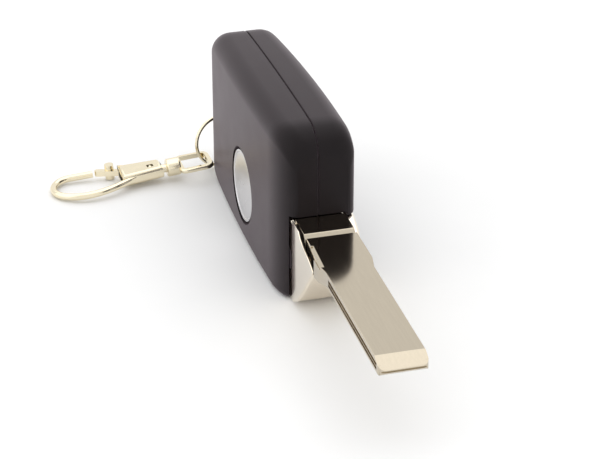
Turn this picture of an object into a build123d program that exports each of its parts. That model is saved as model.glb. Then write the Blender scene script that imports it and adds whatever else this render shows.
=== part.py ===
from build123d import *
import math
import os

os.makedirs("parts", exist_ok=True)

# A folding car key fob standing on its storage side, in millimetres.
# +Z is up the fob's width, X runs through its thickness and the opened blade points along -Y.
# The origin is on the surface it stands on, straight below the axis that the blade folds about.

# Casing
head_y = -2.5
far_y = 60.5
fob_width = 36.3
crest_y = 0.0
top_radius = 700.0
rear_depth = 8.1
front_depth = 7.7
rear_head_depth = 7.8
rear_far_depth = 6.9
front_head_depth = 7.6
front_far_depth = 6.2
bulge_y = 22.0
head_corner_top = 6.0
head_corner_low = 3.0
far_corner_top = 9.0
far_corner_low = 10.0
rear_head_sweep = 9.0
rear_head_flat = 3.6
front_head_sweep = 2.1
front_head_flat = 5.5
far_round = 4.2
top_edge_round = 3.4
low_edge_round = 1.4
end_recess = 1.5
recess_top = 27.2
recess_round = 0.8
casing_wall = 1.6
fit = 0.3
pin_fit = 0.05

# Folding blade
pivot_height = 9.4
hub_radius = 9.1
hub_width = 10.6
blade_face = 18.5
blade_width = 9.3
blade_thickness = 2.7
blade_tip_y = -57.2
shoulder_y = -24.0
head_rear_y = -6.5
head_notch_y = -10.2
nose_tip_y = -16.0
nose_tip_z = 13.4
groove_depth = 0.6
groove_height = 0.9
tang_width = 6.0
head_under = 14.0
nose_top = 15.2
tang_near_y = -10.4
tang_far_y = -13.6
tang_bottom = 11.8
blade_pin_radius = 0.8
blade_pin_length = 8.4
pin_lift = 1.6
tip_slope = 2.9
tip_slope_drop = 1.1
tip_nose = 0.6
tip_nose_drop = 1.6
tip_under_rise = 0.5
hinge_stub_radius = 2.5
chamber_radius = 6.1
chamber_floor = -2.1
disc_radius = 8.6
disc_face = 7.3
rim_thickness = 1.2
release_radius = 4.9
release_rise = 0.6
release_travel = 2.0
release_flange = 0.9
flange_thickness = 1.3
stem_radius = 2.2
spring_wire = 0.9
spring_radius = 4.4
spring_pitch = 1.0
spring_turns = 3

# Electronics and buttons
board_face = 1.8
board_thickness = 1.0
board_near_y = 24.0
board_far_y = 53.6
board_gap = 1.0
button_length = 8.4
button_height = 13.0
button_round = 3.0
button_rise = 0.4
button_travel = 0.4
button_flange = 0.8
button_pitch = 10.4
button_y = 34.4
button_z = 20.6
button_stem = 1.6
pad_face = 4.9
pad_margin = 2.2
flange_depth = 0.7
switch_size = 3.6
switch_height = 1.6
post_radius = 1.3
post_inset = 1.5
cell_radius = 10.0
cell_thickness = 3.2
cell_y = 43.0
cell_face = -0.7
contact_thickness = 0.3
emblem_y = 26.5
emblem_z = 12.0
emblem_radius = 8.1
emblem_depth = 1.0
disc_thickness = 0.8
chip_y = 12.0
chip_lift = 7.0
chip_length = 12.0
chip_height = 6.0
chip_thickness = 3.0
chip_glue = 0.4
controller_size = 5.0
controller_inset = 4.5

# Key ring and snap hook
bail_x = -1.1
bail_low_z = 5.6
bail_hole = 6.6
bail_wire = 0.75
bail_reach = 4.6
foot_inset = 1.0
foot_rim = 0.6
far_block_wall = 1.2
ring_radius = 5.5
ring_wire = 0.55
ring_turn = 13.0
ring_lean = 5.0
ring_play = 0.4
ring_set_out = 0.75
link_drop = 35.0
link_gap = 0.22
link_aside = 2.4
eye_ring_half = 3.7
eye_collar_half = 3.8
eye_wire = 0.5
eye_length = 7.5
eye_ring_round = 1.8
eye_collar_round = 1.4
collar_radius = 1.95
collar_length = 2.5
swivel_gap = 0.9
neck_radius = 0.9
neck_length = 2.2
neck_head = 0.5
neck_head_length = 0.8
hook_length = 35.4
hook_turn = 1.3
hook_thickness = 2.8
rod_radius = 0.75
base_length = 9.2
base_start_half = 2.0
base_end_half = 2.8
base_shift = -0.2
gate_thickness = 1.2
gate_play = 0.15
leaf_thickness = 0.2
leaf_reach = 3.4
gate_root = 1.2
gate_tip_round = 0.6
gate_pin_radius = 0.6
knob_radius = 1.0
knob_half_length = 1.6


def top_height(y):
    """The height of the casing's arched top at one place along its length."""
    return fob_width - top_radius + math.sqrt(top_radius**2 - (y - crest_y) ** 2)


# Values that follow from the driving dimensions
hub_half = hub_width / 2
stem_end = chamber_floor + release_travel
bay_half = hub_half + fit
flange_face = disc_face - rim_thickness
blade_half = blade_width / 2
lane_half = blade_half + fit
hub_bay_radius = hub_radius + fit
blade_under = blade_face - blade_thickness
slot_end_y = fit - blade_tip_y
lane_start_y = -shoulder_y + 2
slot_depth = 2 * pivot_height - head_under + 2 * fit
lane_depth = 2 * pivot_height - blade_under + 2 * fit
mouth_top = pivot_height + hub_bay_radius
bay_floor = slot_depth + casing_wall
board_low_z = bay_floor + board_gap
board_top_z = top_height(board_far_y) - casing_wall - board_gap
cell_z = (bay_floor + top_height(cell_y) - casing_wall) / 2
bail_root_y = slot_end_y - foot_inset
far_block_y = bail_root_y - bail_wire - far_block_wall
bail_top_z = bail_low_z + bail_hole + 2 * bail_wire
far_block_top = bail_top_z + bail_wire + 1
bail_bar_y = far_y + bail_reach
board_back = board_face - board_thickness
switch_top = board_face + switch_height
button_places = [button_y - button_pitch, button_y, button_y + button_pitch]
rear_depths = (rear_head_depth, rear_depth, rear_far_depth)
front_depths = (front_head_depth, front_depth, front_far_depth)
rear_blend = (rear_head_flat, rear_head_sweep)
front_blend = (front_head_flat, front_head_sweep)


def tangent_point(px, pz, radius):
    """Where a line from a point outside the hub touches the underside of its circle."""
    reach = math.hypot(px, pz - pivot_height)
    toward = math.atan2(pivot_height - pz, -px)
    turn = math.asin(radius / reach)
    run = math.sqrt(reach**2 - radius**2)
    return px + run * math.cos(toward - turn), pz + run * math.sin(toward - turn)


def round_corners(sketch, *corners):
    """Rounds the corners of a sketch that lie at the given places."""
    for place, radius in corners:
        fillet(sketch.vertices().sort_by_distance(place)[0], radius=radius)


def casing_outline(grow):
    """The side view of the casing, grown or shrunk by one amount."""
    with BuildSketch(Plane.YZ) as outline:
        with BuildLine():
            low_left = (head_y, 0)
            low_right = (far_y, 0)
            top_right = (far_y, top_height(far_y))
            top_left = (head_y, top_height(head_y))
            Line(low_left, low_right)
            Line(low_right, top_right)
            ThreePointArc(top_right, (crest_y, fob_width), top_left)
            Line(top_left, low_left)
        make_face()
        round_corners(
            outline,
            (low_left, head_corner_low),
            (low_right, far_corner_low),
            (top_right, far_corner_top),
            (top_left, head_corner_top),
        )
        if grow:
            offset(amount=grow, mode=Mode.REPLACE)
    return outline.sketch


def casing_plan(depths, blend, shrink):
    """The casing seen from above, swept back at its head and bulged in the middle."""
    near_depth, middle_depth, far_depth = [depth - shrink for depth in depths]
    flat, sweep_back = blend
    near_y = head_y + sweep_back
    start_y = head_y + shrink
    end_y = far_y - shrink
    with BuildSketch(Plane.XY) as plan:
        with BuildLine():
            Line((0, start_y), (flat, start_y))
            EllipticalCenterArc(
                (flat, near_y),
                near_depth - flat,
                near_y - start_y,
                start_angle=270,
                arc_size=90,
            )
            ThreePointArc((near_depth, near_y), (middle_depth, bulge_y), (far_depth, end_y))
            Line((far_depth, end_y), (0, end_y))
            Line((0, end_y), (0, start_y))
        make_face()
        round_corners(plan, ((far_depth, end_y), far_round - shrink))
        mirror(about=Plane.YZ)
    return plan.sketch


def casing_half(side, depths, blend, shrink):
    """A solid half of the casing, with its long edges rounded along the base and the arch."""
    length = far_y - head_y
    depth = side * (max(depths) - shrink)
    low_edge = (depth, shrink)
    top_edge = (depth, top_radius - shrink)
    arch_start = math.asin((far_y + far_round - crest_y) / top_radius)
    arch_normal = Vector(0, -math.cos(arch_start), math.sin(arch_start))
    arch_centre = (0, crest_y, fob_width - top_radius)
    with BuildPart() as half:
        extrude(casing_outline(-shrink), amount=depth)
        extrude(casing_plan(depths, blend, shrink), amount=fob_width, mode=Mode.INTERSECT)
        with BuildSketch(Plane.XZ) as base:
            with BuildLine():
                Polyline((0, shrink), low_edge, (depth, fob_width), (0, fob_width), close=True)
            make_face()
            round_corners(base, (low_edge, max(low_edge_round - shrink, fit)))
        extrude(amount=length, both=True, mode=Mode.INTERSECT)
        with BuildSketch(Plane(origin=arch_centre, x_dir=(1, 0, 0), z_dir=arch_normal)) as arch:
            with BuildLine():
                inner = top_radius - 2 * fob_width
                Polyline((0, inner), (depth, inner), top_edge, (0, top_edge[1]), close=True)
            make_face()
            round_corners(arch, (top_edge, max(top_edge_round - shrink, fit)))
        revolve(
            axis=Axis(arch_centre, (1, 0, 0)),
            revolution_arc=2 * math.degrees(arch_start),
            mode=Mode.INTERSECT,
        )
    return half.part

nose_root_y, nose_root_z = tangent_point(nose_tip_y, nose_tip_z, hub_radius)


def across(y, z):
    """The place of a point of the opened blade once the blade is folded."""
    return (-y, 2 * pivot_height - z)


def electronics_bay(side, depths, blend):
    """The hollow of one casing half, clear of the blade's slot and the hinge."""
    wall = casing_wall
    slope_low = across(nose_tip_y - 1.5 * wall, nose_tip_z)
    slope_high = across(nose_root_y - wall, nose_root_z - wall)
    with BuildPart() as bay:
        add(casing_half(side, depths, blend, wall))
        with BuildSketch(Plane.YZ):
            with BuildLine():
                Polyline(
                    (head_y, mouth_top + wall),
                    (hub_radius / 2, mouth_top + wall),
                    slope_high,
                    (slope_low[0], bay_floor),
                    (far_block_y, bay_floor),
                    (far_block_y, far_block_top),
                    (far_y - end_recess - wall, far_block_top),
                    (far_y - end_recess - wall, fob_width),
                    (head_y, fob_width),
                    close=True,
                )
            make_face()
        extrude(amount=fob_width, both=True, mode=Mode.INTERSECT)
    return bay.part


# The space that the hub turns in and the blade folds into
with BuildPart() as blade_bay:
    with BuildSketch(Plane.YZ):
        with Locations((0, pivot_height)):
            Circle(hub_bay_radius)
        with BuildLine():
            Polyline(
                (head_y - 1, -1),
                (head_y - 1, mouth_top),
                (0, mouth_top),
                across(nose_root_y - fit, nose_root_z - fit),
                across(nose_tip_y - 2 * fit, nose_tip_z),
                (2 * fit - nose_tip_y, -1),
                close=True,
            )
        make_face()
    extrude(amount=bay_half, both=True)
    with BuildSketch(Plane.XY.offset(slot_depth)):
        with BuildLine():
            Polyline(
                (-bay_half, 0),
                (-bay_half, lane_start_y - 2),
                (-lane_half, lane_start_y),
                (lane_half, lane_start_y),
                (bay_half, lane_start_y - 2),
                (bay_half, 0),
                close=True,
            )
        make_face()
    extrude(amount=-slot_depth - 1)
    with BuildSketch(Plane.XY.offset(lane_depth)):
        with BuildLine():
            Polyline(
                (-lane_half, lane_start_y - 1),
                (-lane_half, slot_end_y),
                (lane_half, slot_end_y),
                (lane_half, lane_start_y - 1),
                close=True,
            )
        make_face()
    extrude(amount=-lane_depth - 1)

# The step in the casing's far end that leaves room for the key ring
with BuildPart() as end_step:
    with BuildSketch(Plane.YZ) as step_side:
        step_corner = (far_y - end_recess, recess_top)
        with BuildLine():
            Polyline(
                (far_y - end_recess, -1),
                step_corner,
                (far_y + 1, recess_top),
                (far_y + 1, -1),
                close=True,
            )
        make_face()
        round_corners(step_side, (step_corner, recess_round))
    extrude(amount=fob_width, both=True)


def bail_solid(clearance):
    """A steel staple for the key ring, with a foot on the inner end of each leg."""
    radius = bail_wire + clearance
    with BuildPart() as staple:
        with BuildLine() as route:
            FilletPolyline(
                (bail_x, bail_root_y, bail_low_z),
                (bail_x, bail_bar_y, bail_low_z),
                (bail_x, bail_bar_y, bail_top_z),
                (bail_x, bail_root_y, bail_top_z),
                radius=1.5 * bail_wire,
            )
        with BuildSketch(Plane(origin=route.wire() @ 0, z_dir=route.wire() % 0)):
            Circle(radius)
        sweep()
        with BuildSketch(Plane.XZ.offset(-bail_root_y)):
            with Locations((bail_x, bail_low_z), (bail_x, bail_top_z)):
                Circle(radius + foot_rim)
        extrude(amount=-bail_wire - clearance)
    return staple.part


# Rear half of the casing, with the emblem's recess and the hinge stub
with BuildPart() as rear_shell:
    add(casing_half(-1, rear_depths, rear_blend, 0))
    add(electronics_bay(-1, rear_depths, rear_blend), mode=Mode.SUBTRACT)
    add(blade_bay.part, mode=Mode.SUBTRACT)
    with BuildSketch(Plane.YZ.offset(-bay_half - fit)):
        with Locations((0, pivot_height)):
            Circle(hinge_stub_radius)
    extrude(amount=bay_half + fit + chamber_floor - fit)
    with BuildSketch(Plane.YZ.offset(emblem_depth - rear_depth)):
        with Locations((emblem_y, emblem_z)):
            Circle(emblem_radius)
    extrude(amount=-2 * emblem_depth, mode=Mode.SUBTRACT)
    add(end_step.part, mode=Mode.SUBTRACT)
    add(bail_solid(pin_fit), mode=Mode.SUBTRACT)

# Front half of the casing, with the windows for the buttons and posts for the board
with BuildPart() as front_shell:
    add(casing_half(1, front_depths, front_blend, 0))
    add(electronics_bay(1, front_depths, front_blend), mode=Mode.SUBTRACT)
    add(blade_bay.part, mode=Mode.SUBTRACT)
    with BuildSketch(Plane.YZ.offset(pad_face)):
        with Locations((button_y, button_z)):
            pad_length = 2 * button_pitch + button_length + 2 * pad_margin
            RectangleRounded(pad_length, button_height + 2 * pad_margin, button_round)
    extrude(amount=front_depth - casing_wall / 2 - pad_face)
    with BuildSketch(Plane.YZ):
        with Locations(*[(y, button_z) for y in button_places]):
            RectangleRounded(button_length + fit, button_height + fit, button_round)
    extrude(amount=2 * front_depth, mode=Mode.SUBTRACT)
    with BuildSketch(Plane.YZ):
        with Locations((0, pivot_height)):
            Circle(disc_radius + fit)
    extrude(amount=2 * front_depth, mode=Mode.SUBTRACT)
    with BuildSketch(Plane.YZ.offset(board_face)):
        near_posts = board_near_y + post_inset
        far_posts = board_far_y - post_inset
        with Locations(
            (near_posts, board_low_z + post_inset),
            (near_posts, board_top_z - post_inset),
            (far_posts, board_top_z - post_inset),
            (far_posts - 2, board_low_z + post_inset),
        ):
            Circle(post_radius)
    extrude(amount=front_far_depth - board_face)
    add(end_step.part, mode=Mode.SUBTRACT)
    add(bail_solid(pin_fit), mode=Mode.SUBTRACT)

# Bare silver disc in the rear recess
with BuildPart() as emblem_disc:
    with BuildSketch(Plane.YZ.offset(emblem_depth - rear_depth)):
        with Locations((emblem_y, emblem_z)):
            Circle(emblem_radius - 2 * fit)
    extrude(amount=-disc_thickness)
    chamfer(emblem_disc.edges().group_by(Axis.X)[0], length=fit)

# Hub of the blade: a barrel between the shells with a nose under the blade's head.
# Its front end is a disc that fills the round cut-out of the front shell.
with BuildPart() as blade_hub:
    with BuildSketch(Plane.YZ):
        with Locations((0, pivot_height)):
            Circle(hub_radius)
        with BuildLine():
            Polyline(
                (0, pivot_height),
                (nose_root_y, nose_root_z),
                (nose_tip_y, nose_tip_z),
                (nose_tip_y + 0.8, head_under),
                (head_notch_y, nose_top - 0.3),
                (head_rear_y + 1.4, nose_top),
                (head_rear_y + 2.4, nose_top + 0.9),
                (-2.5, blade_face - 0.7),
                close=True,
            )
        make_face()
    extrude(amount=hub_half, both=True)
    chamfer(blade_hub.edges().filter_by(GeomType.CIRCLE), length=0.4)
    with BuildSketch(Plane.YZ.offset(hub_half)):
        with Locations((0, pivot_height)):
            Circle(disc_radius)
    extrude(amount=disc_face - hub_half)
    chamfer(blade_hub.edges().group_by(Axis.X)[-1], length=0.5)
    with BuildSketch(Plane.YZ.offset(chamber_floor)):
        with Locations((0, pivot_height)):
            Circle(chamber_radius)
    extrude(amount=flange_face - chamber_floor, mode=Mode.SUBTRACT)
    with BuildSketch(Plane.YZ.offset(flange_face)):
        with Locations((0, pivot_height)):
            Circle(release_radius + pin_fit)
    extrude(amount=hub_width, mode=Mode.SUBTRACT)
    with BuildSketch(Plane.YZ):
        with Locations((0, pivot_height)):
            Circle(hinge_stub_radius + pin_fit)
    extrude(amount=-hub_width, mode=Mode.SUBTRACT)
    with BuildSketch(Plane.YZ):
        with BuildLine():
            Polyline(
                (tang_near_y, tang_bottom),
                (tang_near_y, blade_face),
                (tang_far_y, blade_face),
                (tang_far_y, tang_bottom),
                close=True,
            )
        make_face()
    extrude(amount=tang_width / 2, both=True, mode=Mode.SUBTRACT)
    with BuildSketch(Plane.YZ):
        with Locations(((tang_near_y + tang_far_y) / 2, tang_bottom + pin_lift)):
            Circle(blade_pin_radius)
    extrude(amount=blade_pin_length / 2, both=True, mode=Mode.SUBTRACT)

# Blade blank with its head, side grooves, bevelled tip and the tang held by the pin
with BuildPart() as blade:
    with BuildSketch(Plane.YZ):
        with BuildLine():
            Polyline(
                (head_rear_y, blade_face),
                (blade_tip_y + tip_slope, blade_face),
                (blade_tip_y + tip_nose, blade_face - tip_slope_drop),
                (blade_tip_y, blade_face - tip_nose_drop),
                (blade_tip_y, blade_under + tip_under_rise),
                (blade_tip_y + tip_nose, blade_under),
                (shoulder_y - 1, blade_under),
                (shoulder_y + 2.5, head_under + 0.9),
                (nose_tip_y, head_under),
                (nose_tip_y + 0.8, head_under),
                (tang_far_y + 0.6, blade_under),
                (head_notch_y, blade_face - 1.7),
                (head_rear_y, blade_face - 1.0),
                close=True,
            )
        make_face()
    extrude(amount=hub_half, both=True)
    with BuildSketch(Plane.XY):
        with BuildLine():
            Polyline(
                (-hub_half, head_rear_y),
                (-hub_half, shoulder_y + 3.2),
                (-blade_half, shoulder_y),
                (-blade_half, blade_tip_y),
                (blade_half, blade_tip_y),
                (blade_half, shoulder_y),
                (hub_half, shoulder_y + 3.2),
                (hub_half, head_rear_y),
                (hub_half - 0.7, head_rear_y),
                (hub_half - 0.7, head_notch_y),
                (0.7 - hub_half, head_notch_y),
                (0.7 - hub_half, head_rear_y),
                close=True,
            )
        make_face()
    extrude(amount=fob_width, mode=Mode.INTERSECT)
    with BuildSketch(Plane.XZ.offset(-shoulder_y + 0.5)):
        with Locations(
            (-blade_half, blade_under + 1.3),
            (blade_half, blade_under + 1.3),
        ):
            Rectangle(2 * groove_depth, groove_height)
    extrude(amount=-blade_tip_y, mode=Mode.SUBTRACT)
    with BuildSketch(Plane.YZ):
        with BuildLine():
            Polyline(
                (tang_near_y, tang_bottom),
                (tang_near_y, blade_face - 1),
                (tang_far_y, blade_face - 1),
                (tang_far_y, tang_bottom),
                close=True,
            )
        make_face()
    extrude(amount=tang_width / 2, both=True)
    with BuildSketch(Plane.YZ):
        with Locations(((tang_near_y + tang_far_y) / 2, tang_bottom + pin_lift)):
            Circle(blade_pin_radius)
    extrude(amount=blade_pin_length, both=True, mode=Mode.SUBTRACT)

# Roll pin that holds the tang in the hub
with BuildPart() as blade_pin:
    with BuildSketch(Plane.YZ):
        with Locations(((tang_near_y + tang_far_y) / 2, tang_bottom + pin_lift)):
            Circle(blade_pin_radius)
            Circle(blade_pin_radius / 2, mode=Mode.SUBTRACT)
    extrude(amount=blade_pin_length / 2, both=True)

# Release button in the hub's disc, with its flange behind the rim and a stem down the hub
with BuildPart() as release_button:
    with BuildSketch(Plane.YZ.offset(flange_face - flange_thickness)):
        with Locations((0, pivot_height)):
            Circle(release_radius + release_flange)
    extrude(amount=flange_thickness)
    with BuildSketch(Plane.YZ.offset(flange_face)):
        with Locations((0, pivot_height)):
            Circle(release_radius)
    extrude(amount=disc_face + release_rise - flange_face)
    fillet(release_button.edges().group_by(Axis.X)[-1], radius=release_rise)
    with BuildSketch(Plane.YZ.offset(stem_end)):
        with Locations((0, pivot_height)):
            Circle(stem_radius)
    extrude(amount=flange_face - flange_thickness - stem_end)

# Coil spring that drives the blade out, seated on the floor of the hub's chamber
spring_start = chamber_floor + spring_wire / 2
with BuildPart() as flip_spring:
    with BuildLine() as coil:
        Helix(
            pitch=spring_pitch,
            height=spring_pitch * spring_turns,
            radius=spring_radius,
            center=(spring_start, 0, pivot_height),
            direction=(1, 0, 0),
        )
    with BuildSketch(Plane(origin=coil.wire() @ 0, z_dir=coil.wire() % 0)):
        Circle(spring_wire / 2)
    sweep(is_frenet=True)

# Circuit board above the blade's lane
with BuildPart() as circuit_board:
    with BuildSketch(Plane.YZ.offset(board_back)):
        with BuildLine():
            Polyline(
                (board_near_y, board_low_z),
                (board_far_y, board_low_z),
                (board_far_y, board_top_z),
                (board_near_y, board_top_z),
                close=True,
            )
        make_face()
    extrude(amount=board_thickness)

# Push switches under the buttons, soldered on the board
with BuildPart() as tact_switches:
    with BuildSketch(Plane.YZ.offset(board_face)):
        with Locations(*[(y, button_z) for y in button_places]):
            Rectangle(switch_size, switch_size)
    extrude(amount=0.7 * switch_height)
    with BuildSketch(Plane.YZ.offset(board_face + 0.7 * switch_height)):
        with Locations(*[(y, button_z) for y in button_places]):
            Circle(switch_size / 3)
    extrude(amount=0.3 * switch_height)

# Controller chip on the back of the board
with BuildPart() as controller_chip:
    with BuildSketch(Plane.YZ.offset(board_back)):
        with Locations((board_near_y + controller_inset, button_z)):
            Rectangle(controller_size, controller_size)
    extrude(amount=-1)

# Aerial coil for the immobiliser, a winding on a ferrite rod
with BuildPart() as antenna_coil:
    with BuildSketch(Plane.YZ.offset(board_face)):
        with Locations((board_far_y - 2.4, button_z)):
            Rectangle(2.4, 9)
    extrude(amount=2)

# Coin cell and its two contacts
with BuildPart() as coin_cell:
    with BuildSketch(Plane.YZ.offset(cell_face)):
        with Locations((cell_y, cell_z)):
            Circle(cell_radius)
    extrude(amount=-cell_thickness)
    chamfer(coin_cell.edges().group_by(Axis.X)[-1], length=0.5)

with BuildPart() as spring_contact:
    with BuildSketch(Plane.XZ.offset(-cell_y)):
        with BuildLine():
            Polyline(
                (board_back, cell_z - 7),
                (board_back - contact_thickness, cell_z - 7),
                (board_back - contact_thickness, cell_z - 4),
                (cell_face, cell_z),
                (cell_face, cell_z + 1.5),
                (cell_face + contact_thickness, cell_z + 1.5),
                (cell_face + contact_thickness, cell_z),
                (board_back, cell_z - 4),
                close=True,
            )
        make_face()
    extrude(amount=2, both=True)

with BuildPart() as clip_contact:
    with BuildSketch(Plane.XZ.offset(-cell_y)):
        with BuildLine():
            clip_z = cell_z + cell_radius
            clip_back = cell_face - cell_thickness
            Polyline(
                (board_back, clip_z),
                (clip_back, clip_z),
                (clip_back, clip_z - 4),
                (clip_back - contact_thickness, clip_z - 4),
                (clip_back - contact_thickness, clip_z + contact_thickness),
                (board_back, clip_z + contact_thickness),
                close=True,
            )
        make_face()
    extrude(amount=2.5, both=True)

# Transponder chip glued to the rear shell above the hinge
with BuildPart() as transponder_chip:
    chip_face = casing_wall + chip_glue - rear_depth
    with BuildSketch(Plane.YZ.offset(chip_face)):
        with Locations((chip_y, mouth_top + chip_lift)):
            Rectangle(chip_length, chip_height)
    extrude(amount=chip_thickness)

# Three button caps, each with a flange behind its window and a stem over its switch
button_parts = {}
for place, name in zip(button_places, ["lock_button", "unlock_button", "trunk_button"]):
    with BuildPart() as cap:
        add(casing_half(1, front_depths, front_blend, -button_rise))
        with BuildSketch(Plane.YZ.offset(pad_face)):
            with Locations((place, button_z)):
                RectangleRounded(button_length, button_height, button_round)
        extrude(amount=2 * front_depth, mode=Mode.INTERSECT)
        with BuildSketch(Plane.YZ.offset(pad_face)):
            with Locations((place, button_z)):
                flange_length = button_length + 2 * button_flange
                flange_height = button_height + 2 * button_flange
                RectangleRounded(flange_length, flange_height, button_round)
        extrude(amount=-flange_depth)
        with BuildSketch(Plane.YZ.offset(pad_face - flange_depth)):
            with Locations((place, button_z)):
                Circle(button_stem)
        extrude(amount=switch_top + button_travel - pad_face + flange_depth)
    button_parts[name] = cap.part

# Staple for the key ring
with BuildPart() as ring_bail:
    add(bail_solid(0))

# Key ring round the staple's lower leg, standing on the floor and leaning away from the casing
turn = math.radians(ring_turn)
lean = math.radians(ring_lean)
ring_outward = Vector(-math.cos(turn), -math.sin(turn), 0)
ring_back = Vector(-math.sin(turn), math.cos(turn), 0)
ring_up = Vector(0, 0, math.cos(lean)) + ring_back * math.sin(lean)
ring_x = bail_x + bail_wire + ring_wire + ring_play - ring_radius * math.cos(turn)
ring_z = ring_radius * math.cos(lean) + ring_wire + pin_fit
ring_centre = Vector(ring_x, far_y - end_recess + ring_set_out, ring_z)
ring_plane = Plane(origin=ring_centre, x_dir=ring_outward, z_dir=ring_outward.cross(ring_up))
with BuildPart(ring_plane) as key_ring:
    Torus(ring_radius, ring_wire)

# The snap hook lies away from the rear face, its eye through the key ring.
# Its own plane has X from the eye to the tip of the hook and Z up out of the flat hook.
drop = math.radians(link_drop)
aside = math.radians(hook_turn)
link_reach = ring_radius - ring_wire - eye_wire - link_gap
link_place = ring_centre + ring_outward * link_reach * math.cos(drop)
link_place = link_place - ring_up * link_reach * math.sin(drop)
hook_side = Vector(math.sin(aside), -math.cos(aside), 0)
eye_start = link_place + hook_side * link_aside - Vector(-math.cos(aside), 0, 0) * eye_wire
hook_drop = (eye_start.Z - rod_radius - pin_fit) / hook_length
hook_along = Vector(-math.cos(aside), -math.sin(aside), -hook_drop)
hook_plane = Plane(origin=eye_start, x_dir=hook_along, z_dir=hook_along.cross(hook_side))
collar_end = eye_length + collar_length
body_start = collar_end + swivel_gap
neck_end = body_start + neck_length
base_end = body_start + base_length
loop_end = hook_length - rod_radius
gate_pivot = (body_start + 5.6, -1.2)
gate_tip = (body_start + 13.4, -4.2)
gate_middle = ((gate_pivot[0] + gate_tip[0]) / 2, (gate_pivot[1] + gate_tip[1]) / 2)
gate_reach = math.dist(gate_pivot, gate_tip)
gate_slope = math.degrees(math.atan2(gate_tip[1] - gate_pivot[1], gate_tip[0] - gate_pivot[0]))
knob_place = (body_start + 10.8, -3.9)
slot_start = gate_pivot[0] - gate_root - gate_play
slot_floor = gate_pivot[1] + gate_root + leaf_thickness + gate_play


def hook_section(reach):
    """A plane across the hook at one distance from its eye."""
    return Plane(origin=hook_plane.from_local_coords((reach, 0, 0)), z_dir=hook_along)


# Swivel eye: a flat wire eye, a collar and the neck that the hook turns on
with BuildPart(hook_plane) as swivel_eye:
    with BuildSketch(hook_plane) as eye_shape:
        with BuildLine():
            Polyline(
                (0, -eye_ring_half),
                (0, eye_ring_half),
                (eye_length, eye_collar_half),
                (eye_length, -eye_collar_half),
                close=True,
            )
        make_face()
        round_corners(
            eye_shape,
            ((0, -eye_ring_half), eye_ring_round),
            ((0, eye_ring_half), eye_ring_round),
            ((eye_length, eye_collar_half), eye_collar_round),
            ((eye_length, -eye_collar_half), eye_collar_round),
        )
        offset(amount=-2 * eye_wire, mode=Mode.SUBTRACT)
    extrude(amount=eye_wire, both=True)
    with BuildSketch(hook_section(eye_length - eye_wire)):
        Circle(collar_radius)
    extrude(amount=collar_length + eye_wire)
    with BuildSketch(hook_section(collar_end)):
        Circle(neck_radius)
    extrude(amount=neck_end - collar_end)
    with BuildSketch(hook_section(neck_end)):
        Circle(neck_radius + neck_head)
    extrude(amount=neck_head_length)

# Hook: a slotted base that carries the gate, and a round rod bent into the hook's bow
with BuildPart(hook_plane) as hook_body:
    with BuildLine(hook_plane) as bow:
        rod_line = Line((body_start + 2.8, 0.3), (body_start + 11, 3.75))
        rod_bend = TangentArc(rod_line @ 1, (body_start + 16.9, 5.0), tangent=rod_line % 1)
        rod_near = TangentArc(rod_bend @ 1, (loop_end - 1.8, 3.4), tangent=rod_bend % 1)
        rod_tip = TangentArc(rod_near @ 1, (loop_end, 0.3), tangent=rod_near % 1)
        rod_far = TangentArc(rod_tip @ 1, (body_start + 19.4, -4.35), tangent=rod_tip % 1)
        Line(rod_far @ 1, (body_start + 14.5, -4.1))
    with BuildSketch(Plane(origin=bow.wire() @ 0, z_dir=bow.wire() % 0)):
        Circle(rod_radius)
    sweep()
    with BuildSketch(hook_plane):
        with BuildLine():
            Polyline(
                (body_start, base_shift - base_start_half),
                (body_start, base_shift + base_start_half),
                (base_end, base_shift + base_end_half),
                (base_end, base_shift - base_end_half),
                close=True,
            )
        make_face()
    extrude(amount=hook_thickness / 2, both=True)
    with BuildSketch(hook_plane):
        with BuildLine():
            Polyline(
                (slot_start, -2 * base_end_half),
                (slot_start, slot_floor),
                (base_end + 1, slot_floor + 1),
                (base_end + 1, -2 * base_end_half),
                close=True,
            )
        make_face()
    extrude(amount=gate_thickness / 2 + gate_play, both=True, mode=Mode.SUBTRACT)
    with BuildSketch(hook_section(body_start)):
        Circle(neck_radius + pin_fit)
    extrude(amount=neck_length, mode=Mode.SUBTRACT)
    with BuildSketch(hook_section(neck_end - fit)):
        Circle(neck_radius + neck_head + 2 * pin_fit)
    extrude(amount=neck_head_length + 2 * fit, mode=Mode.SUBTRACT)
    with BuildSketch(hook_plane):
        with Locations(gate_pivot):
            Circle(gate_pin_radius)
    extrude(amount=hook_thickness, both=True, mode=Mode.SUBTRACT)

# Gate with its thumb knob, turning on a pin through the hook's slot
with BuildPart(hook_plane) as hook_gate:
    with BuildSketch(hook_plane):
        with Locations(gate_middle):
            SlotCenterToCenter(gate_reach, 2 * gate_tip_round, rotation=gate_slope)
        with Locations(gate_pivot):
            Circle(gate_root)
            Circle(gate_pin_radius + pin_fit, mode=Mode.SUBTRACT)
    extrude(amount=gate_thickness / 2, both=True)
    with BuildSketch(hook_plane):
        with Locations(knob_place):
            Circle(knob_radius)
    extrude(amount=knob_half_length, both=True)

with BuildPart(hook_plane) as gate_pin:
    with BuildSketch(hook_plane):
        with Locations(gate_pivot):
            Circle(gate_pin_radius)
    extrude(amount=hook_thickness / 2, both=True)

# Leaf spring behind the gate
leaf_low = gate_pivot[1] + gate_root + pin_fit
leaf_near = slot_start + gate_play
leaf_far = gate_pivot[0] + leaf_reach
with BuildPart(hook_plane) as gate_spring:
    with BuildSketch(hook_plane):
        with BuildLine():
            Polyline(
                (leaf_near, leaf_low),
                (leaf_near, leaf_low + leaf_thickness),
                (leaf_far, leaf_low + leaf_thickness),
                (leaf_far, leaf_low),
                close=True,
            )
        make_face()
    extrude(amount=gate_thickness / 2, both=True)

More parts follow.
